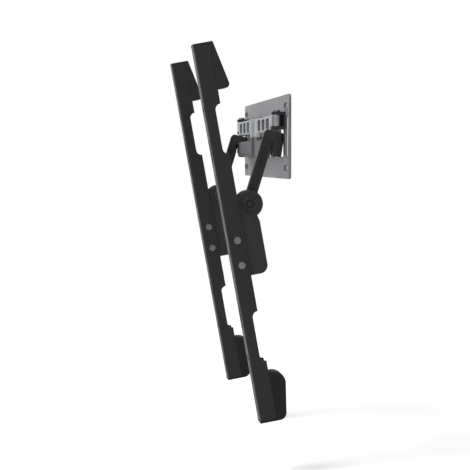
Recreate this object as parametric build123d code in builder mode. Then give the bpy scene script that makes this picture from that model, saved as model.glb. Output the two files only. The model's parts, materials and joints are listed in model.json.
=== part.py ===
# Full motion wall mount: a slatted wall plate, two pairs of folding arms and two tilting rails.
# Millimetres. X runs along the wall plate, -Y points forwards from it and Z is up.
# The origin is at the centre of the wall plate's back face.
from build123d import *
import os
from math import cos, radians, sin

# Wall plate
plate_width = 484.0
plate_height = 100.0
plate_thickness = 3.0
plate_corner = 7.0
strip_height = 26.0
slat_width = 16.0
slat_count = 8
bead_radius = 2.2
end_bar = 8.0
window_corner = 3.0
wall_slot_length = 30.0
wall_slot_height = 7.0
wall_slot_inset_x = 26.0
wall_slot_inset_z = 13.0

# Upright pivots of the folding arms
rail_spacing = 400.0
elbow_spacing = 40.0
knuckle_radius = 6.5
pin_radius = 3.0
pin_head_radius = 4.4
pin_head_height = 1.6
bush_wall = 1.0
pin_fit = 0.05
face_gap = 0.3
ear_thickness = 3.7
hinge_base_thickness = 2.2
hinge_base_width = 26.0
rivet_radius = 2.0
rivet_spacing = 8.0

# Folding arms: the inner arm lies above the outer arm when both are folded
arm_depth = 12.0
arm_height = 20.0
arm_edge = 3.0
arm_bar = 13.0
arm_window_count = 3
arm_window_corner = 2.5
arm_end_setback = 16.0
arm_round = 3.0
inner_arm_bottom = 6.0
outer_arm_top = -2.0
pocket_depth = 4.0
tongue_depth = 8.0
tongue_step = 4.0

# Drop arm and tilt pivot
drop_arm_width = 10.0
drop_arm_depth = 13.0
drop_arm_reach = 3.0
drop_head_rise = 2.5
head_radius = 8.5
head_slope = 3.5
head_sweep = 60.0
swing_radius = 9.6
lip_radius = 4.6
cheek_gap_top = -2.0
drop_eye_radius = 11.0
groove_depth = 1.2
groove_radius = 2.5
groove_end_gap = 18.0
tilt_angle = 10.2
tilt_axle_radius = 4.0
tilt_axle_depth = 33.0
tilt_axle_rise = 32.0
axle_head_radius = 7.0
axle_head_height = 2.5

# Screen side: depth is measured back from the rails' front faces, rise from the middle of the bolt pattern
screen_centre_y = -73.0
screen_centre_z = -117.0
bolt_spacing = 300.0
bolt_hole = 8.4
slot_spacing = 200.0
slot_length = 30.0
rail_length = 452.0
rail_width = 32.0
rail_depth = 20.0
rail_wall = 2.5
rail_relief_length = 60.0
rail_relief_depth = 7.0
rail_bend = 3.0
bracket_clearance = 0.3
bracket_depth = 42.0
bracket_top = 44.0
bracket_waist = 10.0
bracket_bottom = -52.0
bracket_round = 10.0
bracket_edge = 2.0
bracket_pocket_width = 15.0
bracket_pocket_length = 40.0
bracket_pocket_depth = 3.0
bracket_pocket_corner = 4.0
boss_radius = 16.5
fork_floor_gap = 2.0
cross_bolt_radius = 2.5
cross_bolt_head_radius = 4.5
cross_bolt_head_height = 2.8
cross_bolt_rises = (-38.0, -8.0)
cross_bolt_depth = 11.0
washer_thickness = 1.0
washer_radius = 9.4
knob_radius = 8.5
knob_height = 6.0
knob_lobes = 8
knob_scallop_radius = 1.6
knob_hollow_radius = 4.6
knob_hollow_depth = 2.4

# End pieces of the rail
end_plate_thickness = 3.0
plug_length = 14.0
plug_clearance = 0.3
cap_length = 54.0
cap_depth = 36.0
cap_top_depth = 24.0
cap_round = 5.0
cap_edge = 2.5
bumper_length = 56.0
bumper_depth = 41.0
bumper_lower_depth = 32.0
bumper_round = 14.0
bumper_lower_round = 9.0
bumper_edge = 4.0

# Places worked out from the driving sizes
hinge_x = rail_spacing / 2
elbow_x = elbow_spacing / 2
slat_pitch = rail_spacing / (slat_count - 1)
window_height = plate_height - 2 * strip_height
end_window = plate_width / 2 - hinge_x - slat_width / 2 - end_bar
end_window_corner = min(window_corner, 0.4 * end_window)
end_window_x = hinge_x + slat_width / 2 + end_window / 2
hinge_base_front = -(plate_thickness + hinge_base_thickness)
hinge_y = hinge_base_front - face_gap - knuckle_radius
inner_arm_top = inner_arm_bottom + arm_height
outer_arm_bottom = outer_arm_top - arm_height
lap_height = (inner_arm_bottom + outer_arm_top) / 2
arm_start = elbow_x + arm_end_setback
arm_end = hinge_x - arm_end_setback
bush_hole = pin_radius + pin_fit + bush_wall + pin_fit
drop_top = inner_arm_bottom + drop_head_rise
wall_ear_low = drop_top + face_gap
wall_ear_high = inner_arm_top + face_gap + ear_thickness
wall_knuckle_low = wall_ear_low + ear_thickness + face_gap
wall_knuckle_middle = (wall_knuckle_low + inner_arm_top) / 2
tongue_top = outer_arm_top - tongue_step
tongue_bottom = outer_arm_bottom + tongue_step
lip_bottom = tongue_bottom - face_gap - ear_thickness
head_bottom = tongue_top + face_gap
front_pin_top = drop_top - head_slope - pin_head_height
tilt_cos = cos(radians(tilt_angle))
tilt_sin = sin(radians(tilt_angle))
axle_y = screen_centre_y + tilt_axle_depth * tilt_cos - tilt_axle_rise * tilt_sin
axle_z = screen_centre_z + tilt_axle_depth * tilt_sin + tilt_axle_rise * tilt_cos
spine_y = hinge_y - drop_arm_reach - drop_arm_depth / 2
spine_z = drop_top - drop_arm_depth / 2
rail_top = rail_length / 2
rail_inside = rail_width - 2 * rail_wall
bracket_width = rail_inside - 2 * bracket_clearance
fork_width = drop_arm_width + 2 * face_gap
fork_floor = tilt_axle_rise - drop_eye_radius - fork_floor_gap
fork_front = tilt_axle_depth - drop_eye_radius - fork_floor_gap

# Side view of a screen rail: x is the depth behind its front face, y the rise along the rail
rail_side = Plane(
    origin=(hinge_x, screen_centre_y, screen_centre_z), x_dir=(0, tilt_cos, tilt_sin), z_dir=(1, 0, 0)
)
# Front view of a screen rail, with y up the rail
rail_face = Plane(
    origin=(hinge_x, screen_centre_y, screen_centre_z), x_dir=(1, 0, 0), z_dir=(0, -tilt_cos, -tilt_sin)
)
# Side view through the upright pivots, with x along Y and y along Z
arm_side = Plane(origin=(hinge_x, 0, 0), x_dir=(0, 1, 0), z_dir=(1, 0, 0))

os.makedirs("parts", exist_ok=True)


def save(part, name):
    part.label = name
    export_step(part, f"parts/{name}.step")


def save_pair(part, name):
    save(part, f"{name}_right")
    save(mirror(part, about=Plane.YZ), f"{name}_left")


def upright_pin(x, low, high, head_below, head_above):
    with BuildPart() as pin:
        with BuildSketch(Plane.XY.offset(low)):
            with Locations((x, hinge_y)):
                Circle(pin_radius)
        extrude(amount=high - low)
        if head_below:
            with BuildSketch(Plane.XY.offset(low - pin_head_height)):
                with Locations((x, hinge_y)):
                    Circle(pin_head_radius)
            extrude(amount=pin_head_height)
            chamfer(pin.edges().group_by(Axis.Z)[0], pin_head_height / 3)
        if head_above:
            with BuildSketch(Plane.XY.offset(high)):
                with Locations((x, hinge_y)):
                    Circle(pin_head_radius)
            extrude(amount=pin_head_height)
            chamfer(pin.edges().group_by(Axis.Z)[-1], pin_head_height / 3)
    return pin.part


def bush(x, low, high):
    with BuildPart() as sleeve:
        with BuildSketch(Plane.XY.offset(low)):
            with Locations((x, hinge_y)):
                Circle(bush_hole - pin_fit)
                Circle(pin_radius + pin_fit, mode=Mode.SUBTRACT)
        extrude(amount=high - low)
    return sleeve.part


# Wall plate: two strips joined by slats, the slats between the hinges stiffened by a pressed bead
with BuildPart() as wall_plate:
    with BuildSketch(Plane.XZ):
        RectangleRounded(plate_width, plate_height, plate_corner)
        with GridLocations(slat_pitch, 0, slat_count - 1, 1):
            RectangleRounded(slat_pitch - slat_width, window_height, window_corner, mode=Mode.SUBTRACT)
        with GridLocations(2 * end_window_x, 0, 2, 1):
            RectangleRounded(end_window, window_height, end_window_corner, mode=Mode.SUBTRACT)
        with GridLocations(plate_width - 2 * wall_slot_inset_x, plate_height - 2 * wall_slot_inset_z, 2, 2):
            SlotOverall(wall_slot_length, wall_slot_height, mode=Mode.SUBTRACT)
        with Locations((0, wall_knuckle_middle)):
            with GridLocations(rail_spacing, rivet_spacing, 2, 2):
                Circle(rivet_radius + pin_fit, mode=Mode.SUBTRACT)
    extrude(amount=plate_thickness)
    with BuildSketch(Plane.XY.offset(-window_height / 2)):
        with Locations((0, -plate_thickness)):
            with GridLocations(slat_pitch, 0, slat_count - 2, 1):
                Circle(bead_radius)
    extrude(amount=window_height)
save(wall_plate.part, "wall_plate")

# Wall hinge: a base on the end slat with an ear above and below the inner arm
with BuildPart() as wall_hinge:
    with BuildSketch(Plane.XZ.offset(plate_thickness)):
        with Locations((hinge_x, (wall_ear_low + wall_ear_high) / 2)):
            RectangleRounded(hinge_base_width, wall_ear_high - wall_ear_low, window_corner)
        with Locations((hinge_x, wall_knuckle_middle)):
            with GridLocations(0, rivet_spacing, 1, 2):
                Circle(rivet_radius + pin_fit, mode=Mode.SUBTRACT)
    extrude(amount=hinge_base_thickness)
    for ear_low in (wall_ear_low, wall_ear_high - ear_thickness):
        with BuildSketch(Plane.XY.offset(ear_low)):
            with Locations((hinge_x, hinge_y)):
                Circle(knuckle_radius)
            with Locations((hinge_x, hinge_base_front + hinge_base_thickness / 2)):
                Rectangle(hinge_base_width - 2 * window_corner, hinge_base_thickness)
            make_hull()
            with Locations((hinge_x, hinge_y)):
                Circle(pin_radius + pin_fit, mode=Mode.SUBTRACT)
        extrude(amount=ear_thickness)
save_pair(wall_hinge.part, "wall_hinge")

# Flush rivets that hold the wall hinge
with BuildPart() as hinge_rivets:
    with BuildSketch(Plane.XZ):
        with Locations((hinge_x, wall_knuckle_middle)):
            with GridLocations(0, rivet_spacing, 1, 2):
                Circle(rivet_radius)
    extrude(amount=-hinge_base_front)
save_pair(hinge_rivets.part, "hinge_rivets")

save_pair(upright_pin(hinge_x, wall_ear_low, wall_ear_high, False, True), "wall_pin")

# Inner arm: a ladder of upright bars between two knuckles
with BuildPart() as inner_arm:
    with BuildSketch(Plane.YZ.offset(arm_start)):
        with Locations((hinge_y, (inner_arm_bottom + inner_arm_top) / 2)):
            RectangleRounded(arm_depth, arm_height, arm_round)
    extrude(amount=arm_end - arm_start)
    for knuckle_x, body_x, knuckle_low in (
        (hinge_x, arm_end, wall_knuckle_low),
        (elbow_x, arm_start, lap_height + face_gap / 2),
    ):
        with BuildSketch(Plane.XY.offset(knuckle_low)):
            with Locations((knuckle_x, hinge_y)):
                Circle(knuckle_radius)
            with Locations((body_x, hinge_y)):
                Circle(arm_depth / 2)
            make_hull()
        extrude(amount=inner_arm_top - knuckle_low)
    with BuildSketch(Plane.XZ.offset(-hinge_y - arm_depth)):
        with Locations(((arm_start + arm_end) / 2, (inner_arm_bottom + inner_arm_top) / 2)):
            with GridLocations((arm_end - arm_start - arm_bar) / arm_window_count, 0, arm_window_count, 1):
                RectangleRounded(
                    (arm_end - arm_start - arm_bar) / arm_window_count - arm_bar,
                    arm_height - 2 * arm_edge,
                    arm_window_corner,
                )
    extrude(amount=2 * arm_depth, mode=Mode.SUBTRACT)
    with BuildSketch(Plane.XY.offset(outer_arm_bottom)):
        with Locations((hinge_x, hinge_y)):
            Circle(bush_hole)
        with Locations((elbow_x, hinge_y)):
            Circle(pin_radius + pin_fit)
    extrude(amount=inner_arm_top - outer_arm_bottom, mode=Mode.SUBTRACT)
save_pair(inner_arm.part, "inner_arm")

save_pair(bush(hinge_x, wall_knuckle_low, inner_arm_top), "wall_bush")
save_pair(upright_pin(elbow_x, outer_arm_bottom, inner_arm_top, True, True), "elbow_pin")

# Outer arm: a plain beam with a long pocket in its back, and a thinner tongue at its far end
with BuildPart() as outer_arm:
    with BuildSketch(Plane.YZ.offset(arm_start)):
        with Locations((hinge_y, (outer_arm_bottom + outer_arm_top) / 2)):
            RectangleRounded(arm_depth, arm_height, arm_round)
    extrude(amount=arm_end - arm_start)
    with BuildSketch(Plane.XY.offset(outer_arm_bottom)):
        with Locations((elbow_x, hinge_y)):
            Circle(knuckle_radius)
        with Locations((arm_start, hinge_y)):
            Circle(arm_depth / 2)
        make_hull()
    extrude(amount=lap_height - face_gap / 2 - outer_arm_bottom)
    with BuildSketch(Plane.XY.offset(tongue_bottom)):
        with Locations((hinge_x, hinge_y)):
            Circle(knuckle_radius)
        with Locations((arm_end, hinge_y)):
            Rectangle(hinge_x - arm_end, tongue_depth, align=(Align.MIN, Align.CENTER))
    extrude(amount=tongue_top - tongue_bottom)
    with BuildSketch(Plane.XZ.offset(-hinge_y - arm_depth / 2)):
        with Locations(((arm_start + arm_end) / 2, (outer_arm_bottom + outer_arm_top) / 2)):
            SlotOverall(arm_end - arm_start - 2 * arm_edge, arm_height - 2 * arm_edge)
    extrude(amount=pocket_depth, mode=Mode.SUBTRACT)
    with BuildSketch(Plane.XY.offset(outer_arm_bottom)):
        with Locations((hinge_x, hinge_y), (elbow_x, hinge_y)):
            Circle(bush_hole)
    extrude(amount=inner_arm_top - outer_arm_bottom, mode=Mode.SUBTRACT)
save_pair(outer_arm.part, "outer_arm")

save_pair(bush(elbow_x, outer_arm_bottom, lap_height - face_gap / 2), "elbow_bush")
save_pair(bush(hinge_x, tongue_bottom, tongue_top), "front_bush")

# Drop arm: a head over the outer arm's knuckle, a cheek outside it that narrows to a lip under it,
# and a bar that leans out and down to the tilt axle
bar_run = Vector(axle_y - spine_y, axle_z - spine_z)
lean = bar_run.normalized()
bar_inside = Vector(spine_y, spine_z) + Vector(-lean.Y, lean.X) * (drop_arm_depth / 3)
gap_start = bar_inside + lean * ((cheek_gap_top - bar_inside.Y) / lean.Y)
gap_end = bar_inside + lean * ((lip_bottom - face_gap - bar_inside.Y) / lean.Y)
cheek_top = head_bottom + ear_thickness
with BuildPart() as drop_arm:
    with BuildSketch(Plane.XY.offset(lip_bottom)):
        with Locations((hinge_x, hinge_y)):
            Circle(head_radius)
            Polygon(
                (0, 0),
                (0, -2 * head_radius),
                (2 * head_radius, -2 * head_radius),
                (2 * head_radius, 2 * head_radius * sin(radians(head_sweep))),
                (2 * head_radius * cos(radians(head_sweep)), 2 * head_radius * sin(radians(head_sweep))),
                align=None,
                mode=Mode.INTERSECT,
            )
    extrude(amount=head_bottom - lip_bottom)
    with BuildSketch(arm_side):
        with BuildLine():
            Polyline(
                (gap_start.X, gap_start.Y),
                (gap_end.X, gap_end.Y),
                (hinge_y - lip_radius, lip_bottom - face_gap),
                close=True,
            )
        make_face()
        with BuildLine():
            Polyline(
                (hinge_y + head_radius, cheek_top),
                (hinge_y + lip_radius, lip_bottom - face_gap),
                (hinge_y + 2 * head_radius, lip_bottom - face_gap),
                close=True,
            )
        make_face()
    extrude(amount=2 * head_radius, both=True, mode=Mode.SUBTRACT)
    with BuildSketch(Plane.XY.offset(lip_bottom)):
        with Locations((hinge_x, hinge_y)):
            Circle(lip_radius)
        with Locations((hinge_x + knuckle_radius, hinge_y)):
            Rectangle(head_radius - knuckle_radius, lip_radius, align=(Align.MIN, Align.CENTER))
        make_hull()
    extrude(amount=ear_thickness)
    with BuildSketch(arm_side):
        with Locations((spine_y, spine_z), (axle_y, axle_z)):
            Circle(drop_arm_depth / 2)
        make_hull()
        with Locations((axle_y, axle_z)):
            Circle(drop_eye_radius)
    extrude(amount=drop_arm_width / 2, both=True)
    with BuildSketch(Plane.XY.offset(head_bottom)):
        with Locations((hinge_x, hinge_y)):
            Circle(head_radius)
        with Locations((hinge_x, spine_y)):
            Rectangle(drop_arm_width, drop_arm_depth / 2)
        make_hull()
    extrude(amount=drop_top - head_bottom)
    with BuildSketch(arm_side):
        with BuildLine():
            Polyline(
                (spine_y, drop_top),
                (hinge_y + 2 * head_radius, drop_top),
                (hinge_y + 2 * head_radius, drop_top - head_slope * 2),
                close=True,
            )
        make_face()
    extrude(amount=2 * head_radius, both=True, mode=Mode.SUBTRACT)
    with BuildSketch(Plane.XY.offset(tongue_bottom - face_gap)):
        with Locations((hinge_x, hinge_y)):
            Circle(swing_radius)
            Rectangle(2 * swing_radius, 2 * swing_radius, align=(Align.MIN, Align.CENTER), mode=Mode.SUBTRACT)
            Circle(knuckle_radius + face_gap)
    extrude(amount=head_bottom - tongue_bottom + face_gap, mode=Mode.SUBTRACT)
    with BuildSketch(Plane.XY.offset(lip_bottom)):
        with Locations((hinge_x, hinge_y)):
            Circle(pin_radius + pin_fit)
    extrude(amount=front_pin_top + pin_fit - lip_bottom, mode=Mode.SUBTRACT)
    with BuildSketch(arm_side):
        with Locations((axle_y, axle_z)):
            Circle(tilt_axle_radius + pin_fit)
    extrude(amount=drop_arm_width, both=True, mode=Mode.SUBTRACT)
    groove_top = Vector(spine_y, spine_z) + lean * groove_end_gap
    groove_end = Vector(axle_y, axle_z) - lean * groove_end_gap
    for face in (1, -1):
        with BuildSketch(arm_side.offset(face * drop_arm_width / 2)):
            with Locations((groove_top.X, groove_top.Y), (groove_end.X, groove_end.Y)):
                Circle(groove_radius)
            make_hull()
        extrude(amount=-face * groove_depth, mode=Mode.SUBTRACT)
save_pair(drop_arm.part, "drop_arm")

save_pair(upright_pin(hinge_x, lip_bottom, front_pin_top, True, False), "front_pin")


def outline_edges(part, half_width, least_depth):
    # Edges round the two flat sides of a piece in the rail's side view, beyond a depth behind its front face
    return part.edges().filter_by(
        lambda edge: abs(abs(edge.center().X - hinge_x) - half_width) < pin_fit
        and rail_side.to_local_coords(edge.center()).X > least_depth
    )


# Tilt bracket: a fork round the drop arm's eye on a foot that nests in the rail's channel
with BuildPart() as tilt_bracket:
    with BuildSketch(rail_side):
        with BuildLine():
            Polyline(
                (rail_wall, bracket_top),
                (tilt_axle_depth, bracket_top),
                (bracket_depth, bracket_waist),
                (bracket_depth, bracket_bottom),
                (rail_wall, bracket_bottom),
                close=True,
            )
        make_face()
        outer_corner = vertices().sort_by(Axis.Y)[:2].sort_by(Axis.X)[-1]
        fillet(outer_corner, bracket_round)
        with Locations((tilt_axle_depth, tilt_axle_rise)):
            Circle(boss_radius)
    extrude(amount=bracket_width / 2, both=True)
    fillet(outline_edges(tilt_bracket, bracket_width / 2, rail_wall + bracket_edge), bracket_edge)
    with BuildSketch(rail_side):
        with Locations((fork_front, fork_floor)):
            Rectangle(2 * bracket_depth, 2 * bracket_depth, align=(Align.MIN, Align.MIN))
    extrude(amount=fork_width / 2, both=True, mode=Mode.SUBTRACT)
    with BuildSketch(rail_side):
        with Locations((tilt_axle_depth, tilt_axle_rise)):
            Circle(tilt_axle_radius + pin_fit)
        with Locations(*[(cross_bolt_depth, rise) for rise in cross_bolt_rises]):
            Circle(cross_bolt_radius + pin_fit)
    extrude(amount=bracket_width, both=True, mode=Mode.SUBTRACT)
    with BuildSketch(rail_face.offset(-bracket_depth)):
        with Locations((0, (bracket_waist + bracket_bottom) / 2)):
            RectangleRounded(bracket_pocket_width, bracket_pocket_length, bracket_pocket_corner)
    extrude(amount=bracket_pocket_depth, mode=Mode.SUBTRACT)
save_pair(tilt_bracket.part, "tilt_bracket")

# Tilt axle, with its plain head on the inner side
with BuildPart() as tilt_axle:
    with BuildSketch(rail_side.offset(-bracket_width / 2)):
        with Locations((tilt_axle_depth, tilt_axle_rise)):
            Circle(tilt_axle_radius)
    extrude(amount=bracket_width + washer_thickness)
    with BuildSketch(rail_side.offset(-bracket_width / 2)):
        with Locations((tilt_axle_depth, tilt_axle_rise)):
            Circle(axle_head_radius)
    extrude(amount=-axle_head_height)
    chamfer(tilt_axle.edges().group_by(Axis.X)[0], axle_head_height / 3)
save_pair(tilt_axle.part, "tilt_axle")

# Washer under the tilt knob
with BuildPart() as tilt_washer:
    with BuildSketch(rail_side.offset(bracket_width / 2)):
        with Locations((tilt_axle_depth, tilt_axle_rise)):
            Circle(washer_radius)
            Circle(tilt_axle_radius + pin_fit, mode=Mode.SUBTRACT)
    extrude(amount=washer_thickness)
save_pair(tilt_washer.part, "tilt_washer")

# Tilt knob: a scalloped disc that tightens the fork
with BuildPart() as tilt_knob:
    with BuildSketch(rail_side.offset(bracket_width / 2 + washer_thickness)):
        with Locations((tilt_axle_depth, tilt_axle_rise)):
            Circle(knob_radius)
            with PolarLocations(knob_radius + knob_scallop_radius / 2, knob_lobes):
                Circle(knob_scallop_radius, mode=Mode.SUBTRACT)
    extrude(amount=knob_height)
    chamfer(tilt_knob.edges().group_by(Axis.X)[-1], knob_height / 6)
    with BuildSketch(rail_side.offset(bracket_width / 2 + washer_thickness + knob_height)):
        with Locations((tilt_axle_depth, tilt_axle_rise)):
            Circle(knob_hollow_radius)
    extrude(amount=-knob_hollow_depth, mode=Mode.SUBTRACT)
save_pair(tilt_knob.part, "tilt_knob")

# Screen rail: a channel open at the back, its front holed and slotted for bolts
with BuildPart() as screen_rail:
    with BuildSketch(rail_side):
        with Locations((rail_depth / 2, 0)):
            Rectangle(rail_depth, rail_length)
    extrude(amount=rail_width / 2, both=True)
    screen_edges = screen_rail.edges().filter_by(lambda edge: edge.length > 0.9 * rail_length)
    fillet(screen_edges.sort_by_distance(rail_face.origin)[:2], rail_bend)
    with BuildSketch(rail_side):
        with Locations((rail_wall, 0)):
            Rectangle(rail_depth, rail_length, align=(Align.MIN, Align.CENTER))
    extrude(amount=rail_inside / 2, both=True, mode=Mode.SUBTRACT)
    with BuildSketch(rail_face):
        with GridLocations(0, bolt_spacing, 1, 2):
            Circle(bolt_hole / 2)
        with GridLocations(0, slot_spacing, 1, 2):
            SlotOverall(slot_length, bolt_hole, rotation=90)
    extrude(amount=-rail_wall, mode=Mode.SUBTRACT)
    with BuildSketch(rail_side):
        with Locations(*[(cross_bolt_depth, rise) for rise in cross_bolt_rises]):
            Circle(cross_bolt_radius + pin_fit)
        with GridLocations(2 * rail_depth, (bolt_spacing + slot_spacing) / 2, 2, 2):
            SlotOverall(rail_relief_length, 2 * rail_relief_depth, rotation=90)
    extrude(amount=rail_width, both=True, mode=Mode.SUBTRACT)
save_pair(screen_rail.part, "screen_rail")

# Bolts across the channel, through the foot of the tilt bracket
with BuildPart() as cross_bolts:
    with BuildSketch(rail_side):
        with Locations(*[(cross_bolt_depth, rise) for rise in cross_bolt_rises]):
            Circle(cross_bolt_radius)
    extrude(amount=rail_width / 2, both=True)
    for face in (1, -1):
        with BuildSketch(rail_side.offset(face * rail_width / 2)):
            with Locations(*[(cross_bolt_depth, rise) for rise in cross_bolt_rises]):
                RegularPolygon(cross_bolt_head_radius, 6)
        extrude(amount=face * cross_bolt_head_height)
save_pair(cross_bolts.part, "cross_bolts")


def end_piece(outline, corner_rounds, edge_round, end_sign):
    inner_rise = end_sign * (rail_top - plug_length)
    with BuildPart() as piece:
        with BuildSketch(rail_side):
            with BuildLine():
                Polyline(*outline, close=True)
            make_face()
            for place, corner_round in corner_rounds:
                fillet(vertices().sort_by_distance(place)[0], corner_round)
        extrude(amount=rail_width / 2, both=True)
        fillet(outline_edges(piece, rail_width / 2, rail_depth + pin_fit), edge_round)
        with BuildSketch(rail_side):
            with Locations((rail_wall + plug_clearance, inner_rise)):
                Rectangle(
                    rail_depth - rail_wall - plug_clearance,
                    plug_length,
                    align=(Align.MIN, Align.MIN if end_sign > 0 else Align.MAX),
                )
        extrude(amount=rail_inside / 2 - plug_clearance, both=True)
    return piece.part


# Top cap: a wedge that thickens downwards behind the rail's upper end
cap_foot = rail_top - cap_length
cap_part = end_piece(
    [
        (0, rail_top + end_plate_thickness),
        (0, rail_top),
        (rail_depth, rail_top),
        (rail_depth, cap_foot),
        (cap_depth, cap_foot),
        (cap_top_depth, rail_top + end_plate_thickness),
    ],
    [((cap_depth, cap_foot), cap_round)],
    cap_edge,
    1,
)
save_pair(cap_part, "top_cap")

# Wall bumper: a rounded rubber block behind the rail's lower end
bumper_head = -rail_top + bumper_length
bumper_foot = -rail_top - end_plate_thickness
bumper_part = end_piece(
    [
        (0, bumper_foot),
        (0, -rail_top),
        (rail_depth, -rail_top),
        (rail_depth, bumper_head),
        (bumper_depth, bumper_head),
        (bumper_lower_depth, bumper_foot),
    ],
    [((bumper_depth, bumper_head), bumper_round), ((bumper_lower_depth, bumper_foot), bumper_lower_round)],
    bumper_edge,
    -1,
)
save_pair(bumper_part, "wall_bumper")
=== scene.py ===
import bmesh
import bpy
import json
import math
import numpy as np
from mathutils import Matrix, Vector


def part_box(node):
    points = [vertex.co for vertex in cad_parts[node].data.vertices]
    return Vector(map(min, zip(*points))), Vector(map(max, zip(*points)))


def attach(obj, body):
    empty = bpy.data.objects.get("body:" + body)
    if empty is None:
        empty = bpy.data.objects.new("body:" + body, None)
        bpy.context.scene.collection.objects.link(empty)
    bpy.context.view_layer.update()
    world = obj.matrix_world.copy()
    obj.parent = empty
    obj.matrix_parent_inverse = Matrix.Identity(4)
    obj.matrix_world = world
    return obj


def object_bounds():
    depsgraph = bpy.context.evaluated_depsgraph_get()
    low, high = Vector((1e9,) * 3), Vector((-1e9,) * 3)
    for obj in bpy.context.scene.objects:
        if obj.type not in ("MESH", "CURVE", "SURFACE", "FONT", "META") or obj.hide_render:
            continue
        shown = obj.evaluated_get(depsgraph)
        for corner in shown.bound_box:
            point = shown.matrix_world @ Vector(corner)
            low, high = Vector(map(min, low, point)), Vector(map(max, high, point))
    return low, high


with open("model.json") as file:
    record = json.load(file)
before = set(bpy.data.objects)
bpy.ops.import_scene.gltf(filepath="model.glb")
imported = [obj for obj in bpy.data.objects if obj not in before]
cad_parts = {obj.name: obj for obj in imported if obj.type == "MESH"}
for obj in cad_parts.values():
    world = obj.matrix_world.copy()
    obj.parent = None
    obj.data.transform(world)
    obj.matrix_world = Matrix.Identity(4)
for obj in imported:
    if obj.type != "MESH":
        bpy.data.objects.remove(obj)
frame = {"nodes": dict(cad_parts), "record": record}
cadLow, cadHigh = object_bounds()
nodes = frame["nodes"]
mm = 0.001  # the frame is in metres
sides = {"right": 1, "left": -1}  # and the sign of X there
print("frame loaded:", len(nodes), "nodes")


# Colours

def linear(hexColour):
    # sRGB hex to linear light: below 0.04045 divide by 12.92, else ((c + 0.055) / 1.055) ^ 2.4
    srgb = np.array([int(hexColour[i:i + 2], 16) for i in (1, 3, 5)]) / 255
    light = np.where(srgb <= 0.04045, srgb / 12.92, ((srgb + 0.055) / 1.055) ** 2.4)
    return (*light.tolist(), 1.0)


# Node helper

def addNode(tree, kind, settings=None, links=None):
    # one node, its plain settings and socket values, and links from other sockets
    node = tree.nodes.new(kind)
    for key, value in (settings or {}).items():
        if isinstance(key, str) and hasattr(node, key):
            setattr(node, key, value)
        else:
            node.inputs[key].default_value = value
    for key, socket in (links or {}).items():
        tree.links.new(socket, node.inputs[key])
    return node


def emptyMaterial(name):
    material = bpy.data.materials.new(name)
    material.use_nodes = True
    material.node_tree.nodes.clear()
    return material, material.node_tree


# Shared by all finishes; the noises run from 0 to 1 and keep mostly between 0.3 and 0.7
finishDetail = {
    "toneFrom": 0.4, "toneSpan": 0.4,  # noise value of the dark colour, and the span up to the light one
    "roughFrom": 0.3, "roughTo": 0.7,  # noise values of the lowest and the highest roughness
    "edgeFrom": 0.995, "edgeTo": 0.82,  # cosine between the normals where wear starts, and where it is full
    "patchFrom": 0.36, "patchTo": 0.62,  # noise values below which nothing is worn and above which all is
    "heightShare": 0.25,  # height of a grain as a share of its width
    "roundSamples": 8,  # rays that look for an edge nearby
}


def wornEdges(tree, look, rounded, patches):
    # how far the rounded normal turns away from the true one shows where the edges are,
    # and the patchy noise breaks that line up, so 1 is worn through and 0 is whole
    true = addNode(tree, "ShaderNodeNewGeometry")
    same = addNode(
        tree, "ShaderNodeVectorMath", {"operation": "DOT_PRODUCT"},
        {0: rounded.outputs["Normal"], 1: true.outputs["Normal"]},
    )
    edge = addNode(
        tree, "ShaderNodeMapRange",
        {
            "From Min": finishDetail["edgeFrom"], "From Max": finishDetail["edgeTo"],
            "To Min": 0.0, "To Max": look["wearShare"],
        },
        {"Value": same.outputs["Value"]},
    )
    broken = addNode(
        tree, "ShaderNodeMapRange",
        {"From Min": finishDetail["patchFrom"], "From Max": finishDetail["patchTo"]},
        {"Value": patches},
    )
    return addNode(
        tree, "ShaderNodeMath", {"operation": "MULTIPLY"},
        {0: edge.outputs["Result"], 1: broken.outputs["Result"]},
    )


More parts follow.
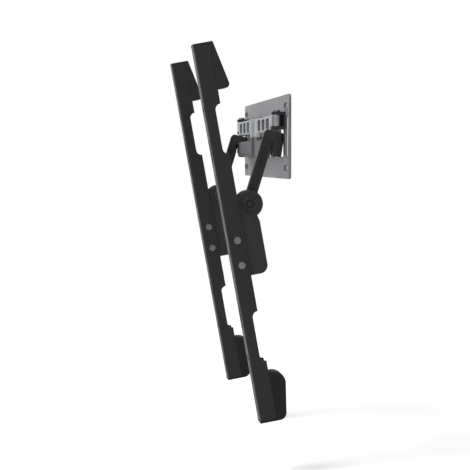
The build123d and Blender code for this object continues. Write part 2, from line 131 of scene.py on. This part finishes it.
def coatedMaterial(name, look):
    # fine grain and broad clouds vary the colour and the roughness, the grain raises the bump,
    # and a worn edge shows the lighter material under the surface
    material, tree = emptyMaterial(name)
    place = addNode(tree, "ShaderNodeTexCoord")
    if look["grain"] == "peel":  # soft waves of a film that flowed as it was baked
        grain = addNode(
            tree, "ShaderNodeTexNoise",
            {"Scale": 1 / (look["grainMm"] * mm), "Detail": 2.0, "Roughness": 0.5},
            {"Vector": place.outputs["Object"]},
        )
        height = grain.outputs["Fac"]
    else:  # separate grains or pits, each a small rounded cell
        grain = addNode(
            tree, "ShaderNodeTexVoronoi",
            {"feature": "SMOOTH_F1", "Scale": 1 / (look["grainMm"] * mm), "Smoothness": 0.5},
            {"Vector": place.outputs["Object"]},
        )
        height = grain.outputs["Distance"]
    drawn = addNode(
        tree, "ShaderNodeMapping", {"Scale": (look["stretch"], 1.0, 1.0)},
        {"Vector": place.outputs["Object"]},
    )
    cloud = addNode(
        tree, "ShaderNodeTexNoise",
        {"Scale": 1 / (look["cloudMm"] * mm), "Detail": 5.0, "Roughness": 0.62},
        {"Vector": drawn.outputs["Vector"]},
    )
    blend = addNode(
        tree, "ShaderNodeMath", {"operation": "MULTIPLY_ADD", 1: look["grainShare"]},
        {0: height, 2: cloud.outputs["Fac"]},
    )
    tone = addNode(tree, "ShaderNodeValToRGB", None, {"Fac": blend.outputs["Value"]})
    toneEnd = finishDetail["toneFrom"] + finishDetail["toneSpan"] * (1 + look["grainShare"])
    tone.color_ramp.elements[0].position = finishDetail["toneFrom"]
    tone.color_ramp.elements[0].color = linear(look["dark"])
    tone.color_ramp.elements[1].position = min(toneEnd, 1)
    tone.color_ramp.elements[1].color = linear(look["light"])
    rounded = addNode(
        tree, "ShaderNodeBevel", {"samples": finishDetail["roundSamples"], "Radius": look["wearMm"] * mm},
    )
    worn = wornEdges(tree, look, rounded, cloud.outputs["Fac"])
    colour = addNode(
        tree, "ShaderNodeMix", {"data_type": "RGBA", 7: linear(look["wear"])},
        {0: worn.outputs["Value"], 6: tone.outputs["Color"]},
    )
    rough = addNode(
        tree, "ShaderNodeMapRange",
        {
            "From Min": finishDetail["roughFrom"], "From Max": finishDetail["roughTo"],
            "To Min": look["roughLow"], "To Max": look["roughHigh"],
        },
        {"Value": cloud.outputs["Fac"]},
    )
    bump = addNode(
        tree, "ShaderNodeBump",
        {"Strength": look["bump"], "Distance": look["grainMm"] * mm * finishDetail["heightShare"]},
        {"Height": height, "Normal": rounded.outputs["Normal"]},
    )
    shader = addNode(
        tree, "ShaderNodeBsdfPrincipled",
        {"Metallic": look["metallic"]},
        {
            "Base Color": colour.outputs[2],
            "Roughness": rough.outputs["Result"],
            "Normal": bump.outputs["Normal"],
        },
    )
    if "specular" in look:  # a grained film scatters much of its gloss, so less than the smooth film's 0.5
        shader.inputs["Specular IOR Level"].default_value = look["specular"]
    addNode(tree, "ShaderNodeOutputMaterial", None, {"Surface": shader.outputs["BSDF"]})
    return material


# Powder coat is a baked resin film: a faint orange peel of about a millimetre and a satin gloss,
# thinner and paler along the edges of the sheet
greyPowderCoat = {
    "grain": "peel", "grainMm": 1.1, "cloudMm": 26, "grainShare": 0.5, "stretch": 1.0,
    "dark": "#646568", "light": "#7b7c7f", "wear": "#97989b", "wearMm": 0.7, "wearShare": 0.6,
    "roughLow": 0.4, "roughHigh": 0.56, "bump": 0.22, "metallic": 0.2, "specular": 0.35,
}
# Bead blasted die casting: bare aluminium with a fine even pitting, drawn at 0.7 mm so that it shows,
# faint flow marks along the arm and corners rubbed bright
blastedAluminium = {
    "grain": "pits", "grainMm": 0.7, "cloudMm": 12, "grainShare": 0.5, "stretch": 0.3,
    "dark": "#76787b", "light": "#999b9e", "wear": "#cfd1d3", "wearMm": 0.9, "wearShare": 0.7,
    "roughLow": 0.32, "roughHigh": 0.5, "bump": 0.3, "metallic": 0.85,
}
# Powder coat over the outer arm's casting, in a darker graphite grey and a little duller than the plate's
graphitePowderCoat = {
    "grain": "peel", "grainMm": 1.0, "cloudMm": 20, "grainShare": 0.5, "stretch": 0.6,
    "dark": "#3a3b3e", "light": "#4c4d50", "wear": "#6c6d70", "wearMm": 0.8, "wearShare": 0.6,
    "roughLow": 0.46, "roughHigh": 0.62, "bump": 0.24, "metallic": 0.1, "specular": 0.25,
}
# Black powder coat with a fine sand texture, which breaks the gloss into small points
blackPowderCoat = {
    "grain": "sand", "grainMm": 0.8, "cloudMm": 22, "grainShare": 0.6, "stretch": 1.0,
    "dark": "#0f1011", "light": "#1d1e20", "wear": "#343538", "wearMm": 0.6, "wearShare": 0.5,
    "roughLow": 0.42, "roughHigh": 0.6, "bump": 0.45, "metallic": 0.0, "specular": 0.28,
}
# Black coated casting: the film flows smoother over the casting, and its corners rub grey
blackCasting = {
    "grain": "peel", "grainMm": 1.2, "cloudMm": 14, "grainShare": 0.6, "stretch": 1.0,
    "dark": "#101112", "light": "#202123", "wear": "#3c3d40", "wearMm": 0.9, "wearShare": 0.55,
    "roughLow": 0.38, "roughHigh": 0.56, "bump": 0.36, "metallic": 0.0, "specular": 0.3,
}
# Moulded ABS with a spark eroded skin: matt, with an even grain of about half a millimetre
# that handling polishes away along the edges
blackAbs = {
    "grain": "sand", "grainMm": 0.55, "cloudMm": 20, "grainShare": 0.7, "stretch": 1.0,
    "dark": "#0d0e0f", "light": "#191a1c", "wear": "#232426", "wearMm": 0.5, "wearShare": 0.5,
    "roughLow": 0.44, "roughHigh": 0.6, "bump": 0.4, "metallic": 0.0, "specular": 0.28,
}
# Moulded rubber: duller than the plastic, with a faint bloom in patches and scuffed edges
bumperRubber = {
    "grain": "peel", "grainMm": 0.9, "cloudMm": 12, "grainShare": 0.3, "stretch": 1.0,
    "dark": "#0b0b0c", "light": "#19191a", "wear": "#2a2a2b", "wearMm": 1.2, "wearShare": 0.5,
    "roughLow": 0.6, "roughHigh": 0.8, "bump": 0.22, "metallic": 0.0, "specular": 0.22,
}
# Zinc plated steel, passivated to a dull grey, with small crystal spangles and paler rubbed edges
zincSteel = {
    "grain": "spangle", "grainMm": 1.8, "cloudMm": 5, "grainShare": 0.5, "stretch": 1.0,
    "dark": "#55575a", "light": "#7a7c7f", "wear": "#a3a5a8", "wearMm": 0.4, "wearShare": 0.6,
    "roughLow": 0.24, "roughHigh": 0.4, "bump": 0.08, "metallic": 1.0,
}
# Blackened steel: a thin hot oxide, nearly black, with a faint oily sheen and grey rubbed edges
blackenedSteel = {
    "grain": "spangle", "grainMm": 1.2, "cloudMm": 5, "grainShare": 0.4, "stretch": 1.0,
    "dark": "#242528", "light": "#36373a", "wear": "#6a6b6e", "wearMm": 0.4, "wearShare": 0.5,
    "roughLow": 0.34, "roughHigh": 0.5, "bump": 0.08, "metallic": 0.8,
}
# Natural acetal: a waxy off-white turned bush
naturalAcetal = {
    "grain": "peel", "grainMm": 0.8, "cloudMm": 8, "grainShare": 0.3, "stretch": 1.0,
    "dark": "#cfccc2", "light": "#e2dfd6", "wear": "#ebe9e2", "wearMm": 0.3, "wearShare": 0.4,
    "roughLow": 0.32, "roughHigh": 0.42, "bump": 0.06, "metallic": 0.0, "specular": 0.45,
}

finishes = {
    "plate_steel": coatedMaterial("greyPowderCoat", greyPowderCoat),
    "arm_alloy": coatedMaterial("blastedAluminium", blastedAluminium),
    "arm_coat": coatedMaterial("graphitePowderCoat", graphitePowderCoat),
    "black_steel": coatedMaterial("blackPowderCoat", blackPowderCoat),
    "black_alloy": coatedMaterial("blackCasting", blackCasting),
    "black_plastic": coatedMaterial("blackAbs", blackAbs),
    "black_rubber": coatedMaterial("bumperRubber", bumperRubber),
    "bright_steel": coatedMaterial("zincSteel", zincSteel),
    "bush_plastic": coatedMaterial("naturalAcetal", naturalAcetal),
}
blackHardware = coatedMaterial("blackenedSteel", blackenedSteel)  # small steel fittings of the black pieces
blackHardwareNodes = ("front_pin", "tilt_axle", "tilt_washer")
print("materials made:", len(finishes) + 1)


# CAD nodes: their finish, and on some of them a small rounded edge

edgeRounds = {  # width in mm of the rounded edge, by the start of the node's name
    "wall_plate": 0.5, "wall_hinge": 0.4, "outer_arm": 0.8, "screen_rail": 0.5, "tilt_knob": 0.35,
    "cross_bolts": 0.3,
}
edgeWork = {
    "crease": math.radians(36),  # edges that turn further are rounded, or else shaded sharp
    "joinMm": 0.002,  # brings the corners of the loose triangles together
    "cleanMm": 0.004,  # joins the points that the bevel leaves on top of each other
    "segments": 3,
}


def smoothGroup():
    # shades faces smooth and keeps an edge sharp where its faces turn by more than the crease angle
    group = bpy.data.node_groups.new("smoothByAngle", "GeometryNodeTree")
    group.interface.new_socket("Geometry", in_out="INPUT", socket_type="NodeSocketGeometry")
    group.interface.new_socket("Geometry", in_out="OUTPUT", socket_type="NodeSocketGeometry")
    entry = addNode(group, "NodeGroupInput")
    corner = addNode(group, "GeometryNodeInputMeshEdgeAngle")
    crease = addNode(
        group, "FunctionNodeCompare", {"operation": "GREATER_THAN", "B": edgeWork["crease"]},
        {"A": corner.outputs["Unsigned Angle"]},
    )
    soft = addNode(
        group, "GeometryNodeSetShadeSmooth", {"domain": "FACE", "Shade Smooth": True},
        {"Geometry": entry.outputs["Geometry"]},
    )
    kept = addNode(
        group, "GeometryNodeSetShadeSmooth", {"domain": "EDGE", "Shade Smooth": False},
        {"Geometry": soft.outputs["Geometry"], "Selection": crease.outputs["Result"]},
    )
    addNode(group, "NodeGroupOutput", None, {"Geometry": kept.outputs["Geometry"]})
    return group


smoothing = smoothGroup()


def roundEdges(piece, width):
    # joins the loose triangles, rounds every edge past the crease angle, and shades the rest by angle
    weld = piece.modifiers.new("weld", "WELD")
    weld.merge_threshold = edgeWork["joinMm"] * mm
    if width:
        bevel = piece.modifiers.new("edge", "BEVEL")
        bevel.width = width * mm
        bevel.segments = edgeWork["segments"]
        bevel.limit_method = "ANGLE"
        bevel.angle_limit = edgeWork["crease"]
        bevel.use_clamp_overlap = True
        bevel.loop_slide = False  # sliding along the long thin triangles would fold them over
        clean = piece.modifiers.new("clean", "WELD")
        clean.merge_threshold = edgeWork["cleanMm"] * mm
    shade = piece.modifiers.new("shade", "NODES")
    shade.node_group = smoothing
    even = piece.modifiers.new("even", "WEIGHTED_NORMAL")
    even.keep_sharp = True


slotOf = {row["node"]: row["material_slot"] for row in frame["record"]["subparts"]}
for name, piece in nodes.items():
    piece.data.materials.clear()
    finish = blackHardware if name.startswith(blackHardwareNodes) else finishes[slotOf[name]]
    piece.data.materials.append(finish)
    widths = [width for start, width in edgeRounds.items() if name.startswith(start)]
    roundEdges(piece, widths[0] if widths else 0)
print("CAD nodes dressed")


# Small pieces that the solids leave plain

def meshFromGrid(name, grid, closedEnds):
    # a grid of rings (ring, place round it, xyz): each ring is closed, and quads join it to the next ring;
    # with closed ends the first and last ring get a fan to their middle, else the last ring joins the first
    rings, around = grid.shape[:2]
    ring = np.arange(rings - 1 if closedEnds else rings)[:, None]
    step = np.arange(around)[None, :]
    nextStep = (step + 1) % around
    here = ring * around
    there = (ring + 1) % rings * around
    quad = [here + step, here + nextStep, there + nextStep, there + step]
    faces = np.stack(np.broadcast_arrays(*quad), axis=-1).reshape(-1, 4).tolist()
    points = grid.reshape(-1, 3)
    if closedEnds:
        points = np.vstack([points, grid[0].mean(axis=0), grid[-1].mean(axis=0)])
        first = np.stack([step[0], np.full(around, rings * around), nextStep[0]], axis=-1)
        last = (rings - 1) * around + np.stack([nextStep[0], np.full(around, around + 1), step[0]], axis=-1)
        faces += first.tolist() + last.tolist()
    mesh = bpy.data.meshes.new(name)
    mesh.from_pydata(points.tolist(), [], faces)
    mesh.update()
    return mesh


def addPiece(name, meshes, body, slotName, finish=None):
    # joins the copies of one small piece into one object that rides on a body
    joined = bmesh.new()
    for mesh in meshes:
        joined.from_mesh(mesh)
        bpy.data.meshes.remove(mesh)
    bmesh.ops.recalc_face_normals(joined, faces=joined.faces)
    whole = bpy.data.meshes.new(name)
    joined.to_mesh(whole)
    joined.free()
    whole.materials.append(finish or finishes[slotName])
    piece = bpy.data.objects.new(name, whole)
    bpy.context.collection.objects.link(piece)
    shade = piece.modifiers.new("shade", "NODES")
    shade.node_group = smoothing
    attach(piece, body)


def turnedRing(profile, around):
    # profile points (radius, height) carried round the axis: (r cos a, r sin a, h)
    angle = np.linspace(0, 2 * np.pi, around, endpoint=False)
    radius, height = np.array(profile).T
    return np.stack([
        radius[:, None] * np.cos(angle),
        radius[:, None] * np.sin(angle),
        np.broadcast_to(height[:, None], (len(height), around)),
    ], axis=-1)


def placeGrid(grid, origin, across, up, along):
    # the grid's own axes become three directions of the frame, and its zero becomes the origin
    return (np.array(origin) + grid @ np.array([across, up, along])) * mm


# Coined rims of the wall plate's slots: a rounded ridge carried round the slot's outline,
# which is two half circles, each half the straight run away from the slot's middle
slotRim = {  # in mm: (reach out from the slot's edge, rise over the sheet), and where the sheet's front is
    "ridge": [(-0.05, -0.5), (-0.05, 0.35), (0.3, 0.6), (0.9, 0.6), (1.9, 0.25), (2.6, -0.05), (1.4, -0.5)],
    "sheetFront": -3.0, "pointsPerEnd": 17,
}
wallBolts = next(row for row in frame["record"]["mounts"] if row["name"] == "wall_bolts")["dims"]
slotHalf = wallBolts["hole_r_mm"]
straightHalf = wallBolts["slot_length_mm"] / 2 - slotHalf
halfTurn = np.linspace(-np.pi / 2, np.pi / 2, slotRim["pointsPerEnd"])
turn = np.concatenate([halfTurn, halfTurn + np.pi])
endMiddle = np.repeat([straightHalf, -straightHalf], slotRim["pointsPerEnd"])
reach, rise = np.array(slotRim["ridge"]).T
ridge = np.stack([
    endMiddle + (slotHalf + reach)[:, None] * np.cos(turn),
    (slotHalf + reach)[:, None] * np.sin(turn),
    np.broadcast_to(rise[:, None], (len(rise), len(turn))),
], axis=-1)
slotX = wallBolts["spacing_x_mm"] / 2
slotZ = wallBolts["spacing_y_mm"] / 2
rims = []
for x in (-slotX, slotX):
    for z in (-slotZ, slotZ):
        placed = placeGrid(ridge, (x, slotRim["sheetFront"], z), (1, 0, 0), (0, 0, 1), (0, -1, 0))
        rims.append(meshFromGrid("slotRim", placed, closedEnds=False))
addPiece("slotRims", rims, "wall_side", "plate_steel")

# Blackened washers under the hexagon heads of the bolts across each rail: a thin cone with a rounded rim
boltWasher = {
    "profile": [(2.0, -0.2), (2.0, 0.9), (4.2, 0.9), (5.6, 0.55), (5.8, 0.35), (5.7, 0.1), (5.4, -0.2)],
    "around": 40, "depth": 11.0, "rises": (-38.0, -8.0), "halfRail": 16.0,  # places in mm on the rail
}
washerRing = turnedRing(boltWasher["profile"], boltWasher["around"])
for side in sides:
    screenBolts = next(row for row in frame["record"]["mounts"] if row["name"] == "screen_bolts_" + side)
    backwards = -np.array(screenBolts["axis"])
    upRail = np.cross((1, 0, 0), backwards)
    washers = []
    for rise in boltWasher["rises"]:
        middle = np.array(screenBolts["pos_m"]) / mm + boltWasher["depth"] * backwards + rise * upRail
        for face in (1, -1):
            seat = middle + np.array((face * boltWasher["halfRail"], 0, 0))
            placed = placeGrid(washerRing, seat, backwards, upRail, (face, 0, 0))
            washers.append(meshFromGrid("washer", placed, closedEnds=False))
    addPiece("boltWashers_" + side, washers, "screen_side_" + side, "black_steel", blackHardware)


def socketCrown(look):
    # a low dome with a hexagon socket: out along the socket's floor, up its six walls, and down the dome;
    # a hexagon's radius is its half width divided by the cosine of the angle from the nearest flat's middle
    angle = np.linspace(0, 2 * np.pi, look["around"], endpoint=False)
    hexagon = look["socket"] / np.cos((angle + np.pi / 6) % (np.pi / 3) - np.pi / 6)
    top, deep, wide = look["height"], look["height"] - look["deep"], look["radius"]
    rows = np.array([  # share of the hexagon, share of the dome's radius, height
        (0.95, 0, deep), (1, 0, deep + 0.08), (1, 0, top - 0.1), (1.06, 0, top), (0, 0.74, top),
        (0, 0.9, 0.88 * top), (0, 0.98, 0.6 * top), (0, 1, 0.3 * top), (0, 1, -0.2),
    ])
    radius = rows[:, :1] * hexagon + rows[:, 1:2] * wide
    height = np.broadcast_to(rows[:, 2:], radius.shape)
    return np.stack([radius * np.cos(angle), radius * np.sin(angle), height], axis=-1)


# Crowns on the upright pins, and a button screw in the hollow of each tilt knob
pinCrown = {"radius": 3.7, "height": 0.9, "deep": 0.8, "socket": 1.5, "around": 48}
knobScrew = {"radius": 3.9, "height": 1.7, "deep": 1.3, "socket": 1.75, "around": 48, "hollow": 2.4}
axisOf = {row["name"]: np.array(row["pos_m"]) / mm for row in frame["record"]["behaviour"]["joints"]}
for side, sign in sides.items():
    for pin, joint, body in (
        ("wall_pin_", "wall_fold_", "wall_side"),
        ("elbow_pin_", "elbow_fold_", "inner_link_" + side),
    ):
        x, y, _ = axisOf[joint + side]
        seat = (x, y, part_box(pin + side)[1][2] / mm)
        placed = placeGrid(socketCrown(pinCrown), seat, (1, 0, 0), (0, 1, 0), (0, 0, 1))
        crown = meshFromGrid("crown", placed, closedEnds=True)
        addPiece(pin + "crown_" + side, [crown], body, slotOf[pin + side])
    _, y, z = axisOf["tilt_" + side]
    knobLow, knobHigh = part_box("tilt_knob_" + side)
    knobFace = max(abs(knobLow[0]), abs(knobHigh[0])) / mm
    seat = (sign * (knobFace - knobScrew["hollow"]), y, z)
    placed = placeGrid(socketCrown(knobScrew), seat, (0, sign, 0), (0, 0, 1), (sign, 0, 0))
    screw = meshFromGrid("screw", placed, closedEnds=True)
    addPiece("knobScrew_" + side, [screw], "screen_side_" + side, "black_steel", blackHardware)
print("small pieces made")


# Camera: the photograph's viewing point, far out to the right along the plate and just below its middle

cameraPlace = {  # places in metres
    "eye": (2.195, -0.263, -0.027),
    "target": (0.2, -0.062, -0.117),
    "photoFocalPx": 1121, "closer": 1.5,  # the photograph's focal length, and how far this view is zoomed in
    "framePx": 470, "sensorMm": 36.0, "sightEnd": 50,
}
focalPx = cameraPlace["photoFocalPx"] * cameraPlace["closer"]
cameraData = bpy.data.cameras.new("camera")
cameraData.sensor_width = cameraPlace["sensorMm"]
cameraData.lens = cameraPlace["sensorMm"] * focalPx / cameraPlace["framePx"]
cameraData.clip_end = cameraPlace["sightEnd"]
camera = bpy.data.objects.new("camera", cameraData)
bpy.context.collection.objects.link(camera)
camera.location = cameraPlace["eye"]
sight = Vector(cameraPlace["target"]) - Vector(cameraPlace["eye"])
camera.rotation_mode = "QUATERNION"
camera.rotation_quaternion = sight.to_track_quat("-Z", "Y")
bpy.context.scene.camera = camera


# Stage: a pale floor, white to the camera and to reflections, with the object's shadow

white = linear("#ffffff")
stageFloor = {  # lengths in metres; the glow lifts the lit paint to white
    "paint": "#e6e6e6", "glow": 0.36, "drop": 0.06, "halfWidth": 4.0,
}


def sightRays(tree):
    # 1 for rays from the camera, a mirror or a clear body, 0 for the light that falls on surfaces
    rays = addNode(tree, "ShaderNodeLightPath")
    direct = addNode(
        tree, "ShaderNodeMath", {"operation": "MAXIMUM"},
        {0: rays.outputs["Is Camera Ray"], 1: rays.outputs["Is Transmission Ray"]},
    )
    return addNode(
        tree, "ShaderNodeMath", {"operation": "MAXIMUM"},
        {0: direct.outputs["Value"], 1: rays.outputs["Is Glossy Ray"]},
    )


def floorMaterial():
    # matt pale paint, lifted to white for sight rays so that only the shadow shows
    material, tree = emptyMaterial("paleFloor")
    paint = addNode(tree, "ShaderNodeBsdfDiffuse", {"Color": linear(stageFloor["paint"])})
    seen = sightRays(tree)
    lift = addNode(
        tree, "ShaderNodeMath", {"operation": "MULTIPLY", 1: stageFloor["glow"]}, {0: seen.outputs["Value"]},
    )
    glow = addNode(tree, "ShaderNodeEmission", {"Color": white}, {"Strength": lift.outputs["Value"]})
    both = addNode(
        tree, "ShaderNodeAddShader", None, {0: paint.outputs["BSDF"], 1: glow.outputs["Emission"]},
    )
    addNode(tree, "ShaderNodeOutputMaterial", None, {"Surface": both.outputs["Shader"]})
    return material


floorHeight = cadLow[2] - stageFloor["drop"]
corners = np.array([[-1, -1], [1, -1], [1, 1], [-1, 1]]) * stageFloor["halfWidth"]
floorMesh = bpy.data.meshes.new("floor")
floorMesh.from_pydata([(x, y, floorHeight) for x, y in corners], [], [(0, 1, 2, 3)])
floorMesh.materials.append(floorMaterial())
floor = bpy.data.objects.new("floor", floorMesh)
bpy.context.collection.objects.link(floor)


# Light: a soft world, a broad sun from the upper front right and three weak lamps

lampTarget = (0, -0.05, -0.1)  # all places and sizes here are in metres
broadSun = {"place": (0.6, -1.5, 2.0), "power": 1.5, "spread": math.radians(20)}
softLamps = {
    "keyLamp": {"place": (1.0, -1.8, 1.6), "size": (1.6, 1.2), "power": 9},
    "fillLamp": {"place": (-1.8, -1.4, 0.6), "size": (1.4, 1.4), "power": 5},
    "topLamp": {"place": (0.2, 0.3, 2.2), "size": (2.0, 1.4), "power": 4},
}
worldLight = {"onSurfaces": 0.45, "toSight": 1.0}


def aim(name, lamp, place):
    holder = bpy.data.objects.new(name, lamp)
    bpy.context.collection.objects.link(holder)
    holder.location = place
    holder.rotation_mode = "QUATERNION"
    holder.rotation_quaternion = (Vector(lampTarget) - Vector(place)).to_track_quat("-Z", "Y")


sun = bpy.data.lights.new("sun", "SUN")
sun.energy = broadSun["power"]
sun.angle = broadSun["spread"]
aim("sun", sun, broadSun["place"])
for name, look in softLamps.items():
    lamp = bpy.data.lights.new(name, "AREA")
    lamp.shape = "RECTANGLE"
    lamp.size, lamp.size_y = look["size"]
    lamp.energy = look["power"]
    aim(name, lamp, look["place"])

world = bpy.data.worlds.new("studio")
bpy.context.scene.world = world
world.use_nodes = True
worldTree = world.node_tree
worldTree.nodes.clear()
seenRays = sightRays(worldTree)
plainLight = addNode(
    worldTree, "ShaderNodeBackground", {"Color": white, "Strength": worldLight["onSurfaces"]},
)
whiteSight = addNode(
    worldTree, "ShaderNodeBackground", {"Color": white, "Strength": worldLight["toSight"]},
)
worldMix = addNode(
    worldTree, "ShaderNodeMixShader", None,
    {
        0: seenRays.outputs["Value"],
        1: plainLight.outputs["Background"],
        2: whiteSight.outputs["Background"],
    },
)
addNode(worldTree, "ShaderNodeOutputWorld", None, {"Surface": worldMix.outputs["Shader"]})
bpy.context.scene.view_settings.view_transform = "Standard"
print("camera, stage and light made")
